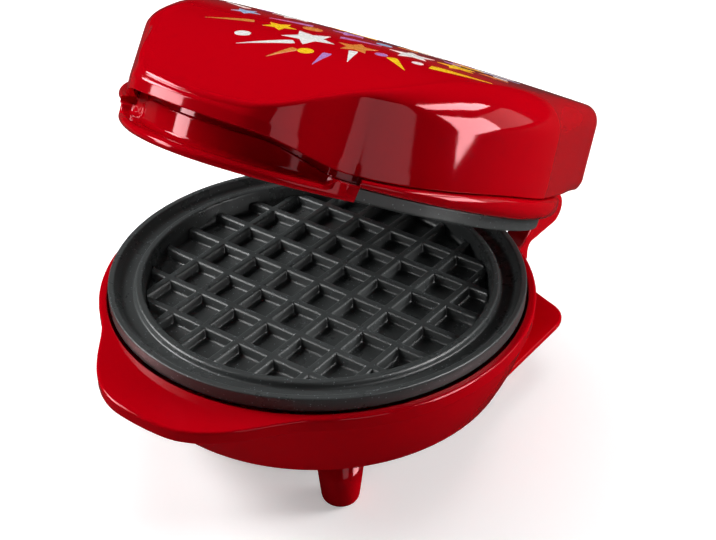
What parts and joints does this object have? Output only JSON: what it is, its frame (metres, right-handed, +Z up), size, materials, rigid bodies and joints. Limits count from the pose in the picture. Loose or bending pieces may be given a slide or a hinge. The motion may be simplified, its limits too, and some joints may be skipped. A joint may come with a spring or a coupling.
{
  "type": "mini waffle maker",
  "caption": "Small round countertop waffle maker: a footed red bowl and a hinged red lid with dark non-stick plates, its lid standing part open.",
  "frame": {"origin": "on the table, under the middle of the object's outline with the lid part open", "axes": "+X to the object's right seen from behind its front handle, +Y from the front handle to the hinge, +Z up"},
  "size_m": [0.147, 0.1844, 0.1395],
  "materials": {
    "red_shell": "high gloss red moulding",
    "non_stick": "dark non-stick coating with fine sparkle on cast aluminium",
    "steel": "plain steel",
    "element": "oxidised element sheath",
    "black_plastic": "matt",
    "ceramic": "unglazed ceramic, in its density nearest to a filled plastic",
    "lead": "sleeved lead"
  },
  "bodies": {
    "base": {"base_housing": "red_shell", "bottom_cover": "black_plastic", "bottom_cover_screw_1": "steel", "bottom_cover_screw_2": "steel", "bottom_cover_screw_3": "steel", "bottom_cover_screw_4": "steel", "lower_plate": "non_stick", "lower_plate_screw_1": "steel", "lower_plate_screw_2": "steel", "lower_plate_screw_3": "steel", "lower_plate_screw_4": "steel", "lower_heating_element": "element", "lower_heat_shield": "steel", "thermostat": "ceramic", "thermostat_strap": "steel", "thermal_fuse": "steel", "terminal_block": "ceramic", "cord_inlet_bush": "black_plastic", "base_lead_left": "lead", "base_lead_right": "lead", "hinge_pin_left": "steel", "hinge_pin_right": "steel"},
    "lid": {"lid_cover": "red_shell", "lid_frame": "red_shell", "lid_cover_screw_1": "steel", "lid_cover_screw_2": "steel", "lid_cover_screw_3": "steel", "lid_cover_screw_4": "steel", "upper_plate": "non_stick", "upper_plate_screw_1": "steel", "upper_plate_screw_2": "steel", "upper_plate_screw_3": "steel", "upper_plate_screw_4": "steel", "upper_heating_element": "element", "upper_heat_shield": "steel", "lid_lead_left": "lead", "lid_lead_right": "lead"}
  },
  "joints": [
    {"name": "lid_hinge", "type": "hinge", "parent": "base", "child": "lid", "pos_m": [0, 0.07181, 0.0481], "axis": [-1, 0, 0], "range_deg": [-27, 70]}
  ]
}
